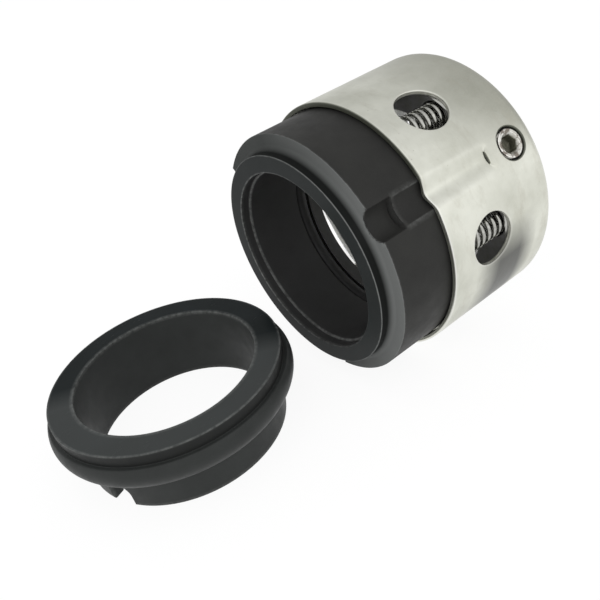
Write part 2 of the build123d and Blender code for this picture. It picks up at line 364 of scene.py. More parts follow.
def ground_carbide(name, dark, light, rough_low, rough_high, specular, bump=0.004, lit_side=0.0,
                   lit_way=(0.0, -1.0, -6.0, 21.0)):
    """Silicon carbide: near black, finely ground. A point attribute is 1 on edges, which it lightens as
    chipped edges with a painted highlight, and -1 in recesses, which it darkens as painted shade.

    A lit side gets lighter along (x, y), from the third value of lit_way to the fourth.
    """
    n = Nodes(name)
    grain = n.noise(5.0, 3.0, 0.7)
    pores = n.ramp(n.cells(2.4), (0.05, 1.0), (0.10, 0.0))
    colour = n.ramp(n.noise(0.10, 3.0, 0.55, shift=5.0), (0.30, dark), (0.72, light))
    colour = n.blend(n.ramp(grain, (0.45, 0.0), (0.80, 1.0)), 0.35, colour, tuple(1.35 * c for c in light))
    colour = n.blend(pores, 0.30, colour, tuple(0.4 * c for c in dark))
    if lit_side:
        x, y, _ = n.axes(n.place)
        x_way, y_way, dark_end, light_end = lit_way
        across = n.math("ADD", n.math("MULTIPLY", x, x_way), n.math("MULTIPLY", y, y_way))
        colour = n.blend(n.slope(across, dark_end, light_end), lit_side, colour, (0.30, 0.31, 0.305))
    # Edges get chips and a painted highlight; recesses get painted shade.
    chips_and_edge_highlight = n.ramp(n.noise(0.9, 4.0, 0.7, shift=15.0), (0.36, 0.25), (0.62, 1.0))
    wear_and_painted_light = n.attribute("wear_and_painted_light")
    edge = n.math("MULTIPLY", wear_and_painted_light, 1.0, clamp=True)
    recess = n.math("MULTIPLY", wear_and_painted_light, -1.0, clamp=True)
    colour = n.blend(edge, chips_and_edge_highlight, colour, (0.30, 0.31, 0.30))
    colour = n.mix(recess, colour, (0.011, 0.012, 0.0115))
    rough = n.ramp(n.noise(0.35, 3.0, 0.6, shift=2.0), (0.3, rough_low), (0.7, rough_high))
    n.set(Base_Color=colour, Roughness=rough, Specular_IOR_Level=specular)
    n.bump((bump, grain), (bump, n.noise(0.8, 2.0, shift=9.0)))
    return n.material


def turned_steel(name, low, high, scale, *zones):
    """Machined steel with fine tool marks round X.

    A zone of painted shade or painted light is ((front, back, inner, outer), level of grey, roughness,
    metallic share).
    """
    n = Nodes(name)
    x, y, z = n.axes(n.place)
    radius = n.math("SQRT", n.math("ADD", n.math("POWER", y, 2.0), n.math("POWER", z, 2.0)))
    along = n.tree.nodes.new("ShaderNodeCombineXYZ")
    n.link(radius, along.inputs[0])
    n.link(x, along.inputs[1])
    marks = n.tree.nodes.new("ShaderNodeTexNoise")
    n.link(along.outputs[0], marks.inputs["Vector"])
    marks.inputs["Scale"].default_value = scale
    marks.inputs["Detail"].default_value = 4.0
    lathe = marks.outputs["Fac"]
    colour = n.ramp(n.noise(0.15, 3.0, shift=4.0), (0.3, low), (0.7, high))
    fresh = tuple(min(1.0, 1.25 * c) for c in high)
    colour = n.blend(n.ramp(lathe, (0.4, 0.0), (0.7, 1.0)), 0.25, colour, fresh)
    rough, metal = n.ramp(lathe, (0.3, 0.26), (0.7, 0.38)), 1.0
    for (front, back, inner, outer), level, roughness, shine in zones:
        zone = n.math("MULTIPLY", n.within(x, front - HEAD_LENGTH, back - HEAD_LENGTH),
                      n.within(radius, inner, outer))
        painted_level = n.ramp(n.noise(0.5, 3.0, shift=6.0), (0.3, (level, level, 0.90 * level)),
                        (0.7, (1.4 * level,) * 3))
        colour = n.mix(zone, colour, painted_level)
        rough = n.mix(zone, rough, n.ramp(lathe, (0.3, roughness), (0.7, 1.3 * roughness)))
        metal = n.math("SUBTRACT", metal, n.math("MULTIPLY", zone, 1.0 - shine))
    n.set(Base_Color=colour, Roughness=rough, Metallic=metal)
    n.bump((0.012, lathe), (0.004, n.noise(3.0)))
    return n.material


def drawn_wire():
    """The springs' bright wire."""
    n = Nodes("drawn_wire")
    colour = n.ramp(n.noise(1.6, 3.0, 0.6, shift=1.0), (0.3, (0.30, 0.30, 0.28)), (0.7, (0.54, 0.54, 0.51)))
    rough = n.ramp(n.noise(4.0, 2.0, shift=2.0), (0.3, 0.06), (0.7, 0.13))
    n.set(Base_Color=colour, Roughness=rough, Metallic=1.0)
    n.bump((0.004, n.noise(6.0, 2.0)))
    return n.material


def screw_steel():
    """Plain steel with brown stains. A point attribute is 1 inside the socket and less on the thread and
    round the socket's edge, where it darkens the steel as painted shade.
    """
    n = Nodes("screw_steel")
    colour = n.ramp(n.noise(0.7, 3.0, shift=8.0), (0.32, (0.62, 0.60, 0.55)), (0.62, (0.80, 0.79, 0.75)))
    stains = n.ramp(n.noise(0.75, 4.0, 0.6, shift=21.0), (0.50, 0.0), (0.58, 1.0))
    colour = n.blend(stains, 0.85, colour, (0.15, 0.12, 0.095))
    wear_and_painted_light = n.attribute("wear_and_painted_light")
    # Painted shade inside the socket, on the thread and round the socket's edge.
    inside = n.ramp(n.noise(1.6, 4.0, 0.65, shift=5.0), (0.35, (0.070, 0.070, 0.048)),
                    (0.65, (0.170, 0.165, 0.120)))
    colour = n.mix(wear_and_painted_light, colour, inside)
    rough = n.ramp(n.noise(2.5, 3.0), (0.3, 0.16), (0.7, 0.30))
    rough = n.math("ADD", rough, n.math("MULTIPLY", wear_and_painted_light, 0.25))
    metal = n.math("SUBTRACT", 1.0, n.math("MULTIPLY", wear_and_painted_light, 0.7))
    n.set(Base_Color=colour, Roughness=rough, Metallic=metal)
    n.bump((0.008, n.noise(3.0, 3.0)))
    return n.material


def cord_rubber():
    """Black rubber of the O-ring."""
    n = Nodes("cord_rubber")
    colour = n.ramp(n.noise(0.6, 3.0), (0.3, (0.022, 0.022, 0.022)), (0.7, (0.030, 0.030, 0.030)))
    bloom = n.ramp(n.noise(0.25, 4.0, shift=3.0), (0.5, 0.42), (0.7, 0.60))
    n.set(Base_Color=colour, Roughness=bloom, Specular_IOR_Level=0.15)
    n.bump((0.006, n.noise(5.0, 3.0)))
    return n.material


def bright_steel():
    """The pressing's inside: smooth and shiny."""
    n = Nodes("bright_stainless")
    cloud = n.noise(0.3, 4.0, 0.6, shift=12.0)
    colour = n.ramp(cloud, (0.3, (0.84, 0.84, 0.83)), (0.7, (0.92, 0.92, 0.91)))
    n.set(Base_Color=colour, Roughness=n.ramp(n.noise(2.0, 3.0), (0.3, 0.05), (0.7, 0.10)), Metallic=1.0)
    n.bump((0.001, n.noise(1.2, 2.0)))
    return n.material


steel = shell_steel()
inside_steel = bright_steel()
carbide = ground_carbide("ground_carbide", (0.022, 0.022, 0.021), (0.031, 0.031, 0.029), 0.46, 0.58, 0.15)
carbide_nose = ground_carbide("lapped_carbide", (0.017, 0.020, 0.020), (0.022, 0.025, 0.025),
                              0.30, 0.36, 0.04, 0.001, lit_side=0.035)
# The shoulder and the nose's side: a lighter copy of the ground carbide with a lit side, painted light.
carbide_step_lit = ground_carbide("lit_step_carbide", (0.050, 0.054, 0.052), (0.064, 0.068, 0.066),
                              0.50, 0.60, 0.06, lit_side=0.50)
carbide_bore = ground_carbide("bore_carbide", (0.030, 0.030, 0.030), (0.038, 0.038, 0.038),
                              0.40, 0.50, 0.14)
seat_carbide = ground_carbide("seat_carbide", (0.023, 0.025, 0.024), (0.032, 0.035, 0.034),
                              0.42, 0.54, 0.20)
seat_face = ground_carbide("seat_lapped_carbide", (0.008, 0.011, 0.011), (0.013, 0.017, 0.018),
                           0.22, 0.28, 0.05, 0.001, lit_side=0.15, lit_way=(-0.496, -0.868, 25.5, 32.0))
wire = drawn_wire()
bright_screw = screw_steel()
rubber = cord_rubber()
# The collar's zones, in order: painted shade on its front face and in the spring pockets, painted light round
# the bore's edge on the front face, painted light in the bore, and painted shade under the screw holes.
collar_steel = turned_steel("turned_collar", (0.44, 0.44, 0.41), (0.56, 0.56, 0.53), 7.0,
                            ((COLLAR_FRONT - 1, SPRING_END + 0.1, 20.5, 26.5), 0.120, 0.45, 0.2),
                            ((COLLAR_FRONT - 1, COLLAR_FRONT + 0.1, 19.3, 20.5), 0.95, 0.45, 0.0),
                            ((COLLAR_FRONT + 0.5, HEAD_LENGTH - 0.2, 18.8, 19.3), 0.90, 0.30, 0.4),
                            ((SCREW_AT - 4.5, SCREW_AT + 4.5, 26.6, 27.2), 0.015, 0.50, 0.2))
# The disc's bore gets painted shade.
disc_steel = turned_steel("turned_disc", (0.60, 0.60, 0.57), (0.70, 0.70, 0.67), 9.0,
                          ((RING_BACK - 5, DISC_BACK + 1, 18.0, 19.7), 0.024, 0.50, 0.2))


# Retainer shell -------------------------------------------------------------------------

def from_dent(angle):
    """Distance round the shell to the middle of the nearest dent."""
    return np.abs(np.radians(np.mod(angle, 120.0) - 60.0)) * SHELL_R


def dent(angle, depth, squeeze=1.0):
    """How far the three pressed dents lie below the plain cylinder."""
    offset = from_dent(angle)
    along = (depth - SHELL_FRONT) / (DENT_END - SHELL_FRONT)
    floor = DENT_DEPTH + (DENT_END_DEPTH - DENT_DEPTH) * along
    width = (1.0 - 0.10 * np.clip(along, 0, 1)) * squeeze
    across = 1.0 - ease(offset / width / DENT_REACH)
    fall = 0.02 + 1.3 * ease((offset - SLIT_LENGTH / 2 + 0.3) / 1.0)
    return floor * across * (1.0 - ease((depth - DENT_END) / fall))


def outer_r(angle, depth):
    """Radius of the shell's outside."""
    return SHELL_R - dent(angle, depth)


def inner_r(angle, depth):
    """Radius of the shell's inside."""
    return SHELL_R - WALL - dent(angle, depth, DENT_INNER)


def retainer_shell():
    """The pressing: a grid of depths and angles, with the openings cut through both its walls."""
    w, s, t = (math.degrees(half / SHELL_R) for half, _ in (WINDOW_FRAME, SCREW_FRAME, SLIT_FRAME))
    third = lines([0, 30 - w, 30 + w, 50.5, 60 - s, 60 - t, 60 + t, 60 + s, 69.5, 90 - w, 90 + w, 120],
                  [1.9, 1.4, 1.2, 0.5, 0.5, 0.4, 0.5, 0.5, 1.2, 1.4, 1.9])[:-1]
    angles = np.concatenate([third, third + 120, third + 240])
    columns = len(angles)
    depths = lines([SHELL_FRONT + FRONT_ROUND, 17.0, WINDOW_AT - WINDOW_FRAME[1], DENT_END - SLIT_FRAME[1],
                    DENT_END + SLIT_FRAME[1], WINDOW_AT + WINDOW_FRAME[1], SCREW_AT - SCREW_FRAME[1],
                    SCREW_AT + SCREW_FRAME[1], HEAD_LENGTH - CORNER],
                   [0.25, 0.8, 0.8, 0.15, 0.5, 0.6, 0.8, 0.3])
    rows, wear_and_painted_light_rows, outer_row, inner_row = [], [], {}, {}

    def add(depth, radius, wear_and_painted_light=0.0):
        """Adds a row and gives its number."""
        rows.append(spot(depth, radius + 0 * angles, angles))
        wear_and_painted_light_rows.append(wear_and_painted_light + 0 * angles)
        return len(rows) - 1

    def ridge_highlight(depth):
        """Polish and a painted highlight along the dents' shoulders and the front edge."""
        inside = np.exp(-((from_dent(angles) - 3.0) / 0.6) ** 2) * (depth < DENT_END)
        return 0.15 * inside + 0.3 * math.exp(-((depth - SHELL_FRONT) / 0.5) ** 2)

    # Back along the outside, round the corner, over the end and its lip, and forward along the inside.
    for k, depth in enumerate(depths):
        outer_row[k] = add(depth, outer_r(angles, depth), ridge_highlight(depth))
    back = HEAD_LENGTH - CORNER
    # The back corner's rounding and the lip's rounding get a painted highlight.
    for a in np.radians([75, 60, 45, 30, 15, 0]):
        add(back + CORNER * math.cos(a), SHELL_R - CORNER + CORNER * math.sin(a), 0.15)
    for radius in (25.9, 25.2, 24.4, LIP_R + 0.35):
        add(HEAD_LENGTH, radius)
    for a in np.radians([90, 60, 30, 0]):
        add(HEAD_LENGTH - LIP_ROUND * (1 - math.sin(a)), LIP_R + LIP_ROUND * (1 - math.cos(a)), 0.5)
    for a in np.radians([0, 30, 60, 90]):
        add(HEAD_LENGTH - WALL + 0.15 - 0.15 * math.sin(a), LIP_R + 0.15 - 0.15 * math.cos(a))
    for radius in (LIP_R + 0.3, 25.0, 26.0):
        add(HEAD_LENGTH - WALL, radius)
    for a in np.radians([0, 22.5, 45, 67.5]):
        add(back + (CORNER - WALL) * math.cos(a), SHELL_R - CORNER + (CORNER - WALL) * math.sin(a))
    for k in range(len(depths) - 1, -1, -1):
        inner_row[k] = add(depths[k], inner_r(angles, depths[k]))
    inside, outside = inner_r(angles, SHELL_FRONT), outer_r(angles, SHELL_FRONT)
    # The front edge gets painted shade on its inner rounding and face all round, and on its outer rounding
    # over the top 48 degrees to each side; beyond, the outer rounding gets a painted highlight.
    upper = 1.0 - ease((np.abs(np.mod(angles + 180.0, 360.0) - 180.0) - 48.0) / 16.0)
    for a in np.radians([0, 30, 60, 90]):
        add(SHELL_FRONT + INNER_ROUND * (1 - math.sin(a)), inside + INNER_ROUND * (1 - math.cos(a)),
            -0.6 - 0.4 * upper)
    add(SHELL_FRONT, 0.5 * (inside + outside), -0.8 - 0.2 * upper)
    for a in np.radians([90, 67.5, 45, 22.5]):
        add(SHELL_FRONT + FRONT_ROUND * (1 - math.sin(a)), outside - FRONT_ROUND * (1 - math.cos(a)),
            1.0 - upper * (1.0 + math.sin(a)))

    points, wear_and_painted_light = [np.concatenate(rows)], [np.concatenate(wear_and_painted_light_rows)]
    index = np.arange(len(rows) * columns).reshape(len(rows), columns)
    faces = grid_faces(len(rows), columns)
    keep = np.ones(faces.shape[:2], bool)
    extra, total = [], len(rows) * columns

    def opening(angle, depth, cut_out, hole_y, hole_x, edge, steps, side, rim=0.3):
        """Cuts a rounded hole: rings lead from a rectangle of the grid to the hole and through the wall."""
        nonlocal total
        half_y, half_x = cut_out
        low = np.argmin(np.abs(angles - (angle - math.degrees(half_y / SHELL_R))))
        high = np.argmin(np.abs(angles - (angle + math.degrees(half_y / SHELL_R))))
        first = np.argmin(np.abs(depths - (depth - half_x)))
        last = np.argmin(np.abs(depths - (depth + half_x)))
        for k in range(first, last):
            keep[outer_row[k], low:high] = False
            keep[inner_row[k + 1], low:high] = False
        loop = [(first, j) for j in range(low, high)] + [(k, high) for k in range(first, last)]
        loop += [(last, j) for j in range(high, low, -1)] + [(k, low) for k in range(last, first, -1)]
        turn = np.radians(angles[[j for _, j in loop]] - angle)
        x = depths[[k for k, _ in loop]] - depth
        sine, cosine = math.sin(math.radians(angle)), math.cos(math.radians(angle))
        radial, tangent = np.array([0, -sine, cosine]), np.array([0, -cosine, -sine])
        phi = np.arctan2(x / half_x, turn / (half_y / SHELL_R))

        def ring(surface, nominal, part, grown, drop, worn_and_painted_light):
            """The loop moved by a part of its way to the hole, laid on a surface and lowered."""
            edge_y = nominal * np.sin(turn)
            to_y, to_x = (hole_y + grown) * np.cos(phi), (hole_x + grown) * np.sin(phi)
            y, px = edge_y + (to_y - edge_y) * part, x + (to_x - x) * part
            here = surface(angle + np.degrees(np.arcsin(y / nominal)), depth + px)
            z = np.sqrt(here ** 2 - y ** 2) - drop
            place = np.outer(z, radial) + np.outer(y, tangent)
            place[:, 0] = depth + px - HEAD_LENGTH
            return place, worn_and_painted_light + 0 * y

        out, inn = SHELL_R, SHELL_R - WALL
        small = edge * 0.6
        rings = [ring(outer_r, out, t, edge, 0.0, w) for t, w in steps]
        rings += [ring(outer_r, out, 1.0, edge * (1 - math.sin(a)), edge * (1 - math.cos(a)), rim)
                  for a in np.radians([0, 22.5, 45, 67.5, 90])]
        top = rings[-1][0]
        low_edge = ring(inner_r, inn, 1.0, 0.0, -small, 0.1)[0]
        rings += [(top + (low_edge - top) * f, side + 0 * x) for f in (0.25, 0.75)]
        rings += [ring(inner_r, inn, 1.0, small * (1 - math.cos(a)), -small * (1 - math.sin(a)), 0.2)
                  for a in np.radians([0, 30, 60, 90])]
        rings += [ring(inner_r, inn, t, small, 0.0, 0.0) for t, _ in reversed(steps)]
        before = np.array([index[outer_row[k], j] for k, j in loop])
        size = len(loop)
        for place, worn_and_painted_light in rings:
            now = total + np.arange(size)
            extra.append(np.stack([before, np.roll(before, -1), np.roll(now, -1), now], -1))
            points.append(place)
            wear_and_painted_light.append(worn_and_painted_light)
            total += size
            before = now
        end = np.array([index[inner_row[k], j] for k, j in loop])
        extra.append(np.stack([before, np.roll(before, -1), np.roll(end, -1), end], -1))

    # The windows' and slits' rounded edges get a faint painted highlight and the windows' walls the matt cut
    # finish; the screw holes' rounded edges and walls and the slits' walls get painted shade.
    spread = [(0.3, 0.0), (0.6, 0.0), (0.82, 0.0), (0.94, 0.1)]
    for angle in SPRING_ANGLES:
        opening(angle, WINDOW_AT, WINDOW_FRAME, WINDOW_R, WINDOW_R, 0.28, spread, 2.0)
    for angle in DENT_ANGLES:
        opening(angle, SCREW_AT, SCREW_FRAME, SCREW_HOLE_R, SCREW_HOLE_R, 0.2, [(0.5, 0.0), (0.93, 0.0)],
                -1.0, -0.9)
        opening(angle, DENT_END, SLIT_FRAME, SLIT_LENGTH / 2, SLIT_WIDTH / 2, 0.06, spread, -0.6)
    everything = [faces[keep]] + extra
    for f in extra:
        f[:] = f[:, ::-1]

    def inner_wall(centre):
        """The material's number: 1 inside the drawn cylinder, else 0."""
        depth, radius = centre.x / MM + HEAD_LENGTH, math.hypot(centre.y, centre.z) / MM
        angle = math.degrees(math.atan2(-centre.y, centre.z))
        return int(SHELL_FRONT + 0.5 < depth < HEAD_LENGTH - WALL and radius < inner_r(angle, depth) + 0.05)

    return piece("shell_pressing", np.concatenate(points), np.concatenate(everything), "drive_unit",
                 "retainer_shell", [steel, inside_steel], wear_and_painted_light=np.concatenate(wear_and_painted_light), pick=inner_wall)


# Seal ring ------------------------------------------------------------------------------

def slot_curve(half, floor, t):
    """Round-bottomed slot section as (radius, angle), from one edge at the ring's outside to the other."""
    rise = math.sqrt(RING_R ** 2 - half ** 2) - floor
    q = (half ** 2 + rise ** 2) / (2 * rise)
    beta = t * (math.asin(min(1.0, half / q)) if rise < half else math.pi - math.asin(half / q))
    y, z = q * np.sin(beta), floor + q - q * np.cos(beta)
    return np.hypot(y, z), np.degrees(np.arctan2(y, z))


def seal_ring():
    """The rotating face: rows round its outline, with a pocket and a slot for each dent."""
    t, half = np.linspace(-1, 1, 25), math.degrees(math.asin(POCKET_HALF / RING_R))
    plain = lines([60 + half, 180 - half], [1.6])[1:-1]
    base, share, centre = [], [], []
    for middle in sorted(DENT_ANGLES):
        base += [middle + v * half for v in t] + list(plain + middle - 60.0)
        share += list(t) + [np.nan] * len(plain)
        centre += [middle] * (len(t) + len(plain))
    base, share, centre = map(np.array, (base, share, centre))
    cut = ~np.isnan(share)
    inside = np.where(cut, share, 0.0)
    shapes = {}
    for kind, width, floor in (("pocket", POCKET_HALF, POCKET_FLOOR), ("slot", SLOT_HALF, SLOT_FLOOR)):
        radius, angle = slot_curve(width, floor, inside)
        shapes[kind] = (np.where(cut, radius, RING_R), np.where(cut, centre + angle, base))
    rows, worn_and_painted_light = [], []

    def circle(depth, radius, wear_and_painted_light=0.0):
        rows.append(spot(depth, radius + 0 * base, base))
        worn_and_painted_light.append(wear_and_painted_light + 0 * base)

    def rim(kind, depth, wear_and_painted_light=0.0):
        """The ring's outline with the pockets or the slots in it."""
        rows.append(spot(depth, *shapes[kind]))
        worn_and_painted_light.append(wear_and_painted_light + 0 * base)

    def between(first, last, steps, wear_and_painted_light):
        for f, w in zip(steps, wear_and_painted_light):
            rows.append(first + (last - first) * f)
            worn_and_painted_light.append(w + 0 * base)

    bright_side = 0.45 - 0.45 * np.sin(np.radians(base))  # The bore's edge catches light on one side.
    # The nose's outer edge gets a painted highlight.
    for radius, wear_and_painted_light in ((FACE_BORE_R, bright_side), (FACE_BORE_R + 0.35, 0.0), (21.5, 0.0),
                         (NOSE_R - 0.25, 0.0), (NOSE_R, 0.5)):
        circle(0.0, radius, wear_and_painted_light)
    # The nose's side gets painted shade, fading out over the cove's first rows.
    for depth in (0.25, 0.7):
        circle(depth, NOSE_R, -1.0)
    mouth_r, mouth_a = shapes["pocket"]
    for a in np.radians([0, 18, 36, 54, 72]):
        radius = np.minimum(NOSE_R + COVE * (1 - math.cos(a)), mouth_r)
        rows.append(spot(NOSE_LENGTH - COVE * (1 - math.sin(a)), radius, base))
        worn_and_painted_light.append(-max(0.0, 1.0 - math.degrees(a) / 65) + 0 * base)
    # The pocket's mouth edge gets a painted highlight.
    inner = spot(NOSE_LENGTH, np.minimum(NOSE_R + COVE, mouth_r - 0.02), mouth_a)
    between(inner, spot(NOSE_LENGTH, mouth_r, mouth_a), (0.0, 0.5, 0.9, 1.0), (0.0, 0.0, 0.0, 0.3))
    for depth in (NOSE_LENGTH + 0.3, 4.4, 6.0, 7.6):
        rim("pocket", depth)
    # The pocket's end wall, from its own outline to the slot's, with a faint painted highlight rising towards
    # the slot.
    first, second = (spot(0.0, *shapes[k]) for k in ("pocket", "slot"))
    for step in range(9):
        row = first + (second - first) * float(ease(step / 8))
        row[:, 0] = POCKET_END - 0.22 + 0.44 * step / 8 - HEAD_LENGTH
        rows.append(row)
        worn_and_painted_light.append(np.where(cut, 0.12 * step / 8, 0.0))
    # The slots' edges get a painted highlight.
    for depth in (9.4, 11.5, 14.0, 16.2, 17.6, RING_BACK):
        rim("slot", depth, np.where(np.abs(inside) > 0.99, 0.22, 0.0))
    outer, inner = rows[-1], spot(RING_BACK, CORD_POCKET_R + CORD_EDGE + 0 * base, base)
    between(outer, inner, (0.4, 0.8, 1.0), (0.0, 0.0, 0.0))
    circle(RING_BACK - CORD_EDGE, CORD_POCKET_R)
    circle(16.5, CORD_POCKET_R)
    for radius in (CORD_POCKET_R, 21.0, RING_BORE_R):
        circle(CORD_POCKET_FRONT, radius)
    for depth in (11.5, 8.0, 4.5, FACE_BORE_DEPTH + 0.6):
        circle(depth, RING_BORE_R)
    # The step into the face's bore and the bore's front edge get a painted highlight.
    circle(FACE_BORE_DEPTH + 0.28, RING_BORE_R, 0.35)
    circle(FACE_BORE_DEPTH, RING_BORE_R + 0.22, 0.45)
    circle(FACE_BORE_DEPTH, FACE_BORE_R)
    circle(0.8, FACE_BORE_R)
    circle(0.25, FACE_BORE_R, 0.2)
    faces = grid_faces(len(rows), len(base)).reshape(-1, 4)

    def zone(centre):
        """The material's number: 1 on the running face, 2 on the shoulder, 3 in the bore, else 0."""
        depth, radius = centre.x / MM + HEAD_LENGTH, math.hypot(centre.y, centre.z) / MM
        if depth < 0.08:
            return 1
        if radius < FACE_BORE_R + 0.1:
            return 3
        if depth < NOSE_LENGTH + 0.04:
            return 2
        return 0

    return piece("carbide_ring", np.concatenate(rows), faces, "face_unit", "seal_ring",
                 [carbide, carbide_nose, carbide_step_lit, carbide_bore], bevel=0.12, wear_and_painted_light=np.concatenate(worn_and_painted_light),
                 pick=zone)


# Seat -----------------------------------------------------------------------------------

def seat_ring():
    """The stationary seat: rows round its outline, with an arched notch in its foot."""
    half, top = NOTCH_WIDTH / 2, NOTCH_HEIGHT - NOTCH_WIDTH / 2
    legs = np.array([0.0, 0.15, 0.6, 1.2, 1.8])
    crown = np.linspace(0, math.pi, 17)
    across = np.concatenate([-np.ones(5), -np.cos(crown), np.ones(5)])
    rise = np.concatenate([0 * legs, np.sin(crown), 0 * legs])
    foot = np.concatenate([legs, top + 0 * crown, legs[::-1]])
    reach = math.degrees(4.4 / SEAT_BODY_R)
    rest = lines([reach, 360 - reach], [1.6])
    notch = np.concatenate([np.ones(len(across), bool), np.zeros(len(rest), bool)])
    straight = np.concatenate([np.linspace(-reach * 0.8, reach * 0.8, len(across)), rest])
    rows, worn_and_painted_light = [], []

    def point(radius, angle, height, wear_and_painted_light=0.0):
        a = np.radians(angle + NOTCH_ANGLE)
        x, y = SEAT_X + radius * np.cos(a), SEAT_Y + radius * np.sin(a)
        rows.append(np.stack([x, y, FLOOR + height + 0 * a], -1))
        worn_and_painted_light.append(wear_and_painted_light + 0 * a)

    def circle(radius, height, wear_and_painted_light=0.0):
        point(radius + 0 * straight, straight, height, wear_and_painted_light)

    def arch(radius, share, grow, wear_and_painted_light=0.0):
        """From the arched foot of the wall (share 0) to a plain circle at NOTCH_FADE (share 1)."""
        angle, height = straight.copy(), np.full(len(straight), float(grow))
        angle[notch] = np.degrees(np.arcsin((half + grow) * across / radius))
        height[notch] = np.maximum(foot, grow) + (half + grow) * rise
        height += (NOTCH_FADE - height) * share
        point(radius + 0 * straight, angle + (straight - angle) * share, height, wear_and_painted_light)

    # The rounded edges at the foot of the outside and of the bore get a faint painted highlight.
    round_off = [(math.sin(a), math.cos(a)) for a in np.radians([0, 30, 60, 90])]
    for s, c in round_off:
        arch(SEAT_BODY_R - SEAT_EDGE * (1 - s), 0.0, SEAT_EDGE * (1 - c), 0.2)
    for share in (0.1, 0.25, 0.5, 0.75, 1.0):
        arch(SEAT_BODY_R, share, SEAT_EDGE)
    under = SEAT_HEIGHT - SEAT_UNDER
    step = SEAT_HEIGHT - SEAT_STEP
    # The flange's belly is the arc through these three points, 0.01 mm inside the solid's.
    (ax, ay), (bx, by), (cx, cy) = ((SEAT_UNDER_R, under), (SEAT_FLANGE_R, SEAT_HEIGHT - SEAT_WIDEST),
                                    (SEAT_SHOULDER_R, step))
    d = 2 * (ax * (by - cy) + bx * (cy - ay) + cx * (ay - by))  # (ux, uy) and q: centre and radius.
    ux = ((ax**2 + ay**2) * (by - cy) + (bx**2 + by**2) * (cy - ay) + (cx**2 + cy**2) * (ay - by)) / d
    uy = ((ax**2 + ay**2) * (cx - bx) + (bx**2 + by**2) * (ax - cx) + (cx**2 + cy**2) * (bx - ax)) / d
    q = math.hypot(ax - ux, ay - uy)
    start, end = math.atan2(ay - uy, ax - ux), math.atan2(cy - uy, cx - ux)
    belly = [(ux + (q - 0.01) * math.cos(a), uy + (q - 0.01) * math.sin(a))
             for a in np.linspace(start, end, 17)]
    outline = rounded([(SEAT_BODY_R, under - 0.6), (SEAT_BODY_R, under, 0.2), (22.9, under),
                       (*belly[0], 0.25)] + belly[2:-1]
                      + [(*belly[-1], 0.2), (SEAT_FACE_R, step, 0.15), (SEAT_FACE_R, step + 0.4),
                         (SEAT_FACE_R, SEAT_HEIGHT - 0.5), (SEAT_FACE_R, SEAT_HEIGHT, 0.14),
                         (SEAT_FACE_R - 0.5, SEAT_HEIGHT), (22.0, SEAT_HEIGHT),
                         (SEAT_BORE_R + 0.9, SEAT_HEIGHT), (SEAT_BORE_R, SEAT_HEIGHT, 0.2),
                         (SEAT_BORE_R, SEAT_HEIGHT - 0.9), (SEAT_BORE_R, 12.0)])
    # The rims of the face and of the bore get a painted highlight, and the step under the face painted shade.
    for radius, height in outline:
        at_rim = radius > SEAT_FACE_R - 0.16 and height > SEAT_HEIGHT - 0.16
        at_bore = radius < SEAT_BORE_R + 0.21 and height > SEAT_HEIGHT - 0.21
        in_step = abs(radius - SEAT_FACE_R) < 0.01 and height < SEAT_HEIGHT - 0.4
        circle(radius, height, 0.30 if at_rim or at_bore else -0.95 if in_step else 0.0)
    for share in (1.0, 0.75, 0.5, 0.25, 0.1):
        arch(SEAT_BORE_R, share, SEAT_EDGE)
    for s, c in reversed(round_off):
        arch(SEAT_BORE_R + SEAT_EDGE * (1 - s), 0.0, SEAT_EDGE * (1 - c), 0.2)
    inner, outer = rows[-1], rows[0]
    for f in (0.25, 0.5, 0.75):
        rows.append(inner + (outer - inner) * f)
        worn_and_painted_light.append(0 * straight)
    faces = grid_faces(len(rows), len(straight)).reshape(-1, 4)
    high = (FLOOR + SEAT_HEIGHT - 0.02) * MM
    return piece("seat_ring", np.concatenate(rows), faces, "drive_unit", "seat",
                 [seat_carbide, seat_face], wear_and_painted_light=np.concatenate(worn_and_painted_light), pick=lambda c: 1 if c.z > high else 0)


# Springs --------------------------------------------------------------------------------

def coil(number, angle):
    """A compression spring with closed ends ground flat."""
    length, closed = SPRING_END - DISC_BACK, 2 * WIRE_R
    turns = 2.0 + (length - 3.0) / SPRING_PITCH
    u = np.linspace(0, turns, int(turns * 40) + 1)
    pitch = closed + (SPRING_PITCH - closed) * ease((np.minimum(u, turns - u) - 0.75) / 0.5)
    climb = np.concatenate([[0], np.cumsum((pitch[1:] + pitch[:-1]) / 2 * np.diff(u))])
    low, high = 0.6 * WIRE_R, length - 0.6 * WIRE_R
    climb = low + climb * (high - low) / climb[-1]
    mean = SPRING_R - WIRE_R
    turn = 2 * math.pi * u
    path = np.stack([climb, mean * np.sin(turn), mean * np.cos(turn)], -1)
    along = np.gradient(path, axis=0)
    along /= np.linalg.norm(along, axis=1)[:, None]
    out = np.stack([0 * turn, np.sin(turn), np.cos(turn)], -1)
    side = np.cross(along, out)
    around = np.linspace(0, 2 * math.pi, WIRE_COLUMNS + 1)[:-1]
    tube = path[:, None] + WIRE_R * (np.cos(around)[None, :, None] * out[:, None]
                                     + np.sin(around)[None, :, None] * side[:, None])
    tube[..., 0] = np.clip(tube[..., 0], 0.0, length)
    count, sides = tube.shape[:2]
    faces = [list(f) for f in grid_faces(count, sides, False).reshape(-1, 4)]
    faces += [list(range(sides))[::-1], list(range((count - 1) * sides, count * sides))]
    points = tube.reshape(-1, 3) + np.array([DISC_BACK - HEAD_LENGTH, 0.0, SPRING_CIRCLE])
    points = about_x(points, angle)
    obj = piece(f"coil_{number}", points, faces, "drive_unit", f"spring_{number}", [wire])
    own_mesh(obj)


# Set screws -----------------------------------------------------------------------------

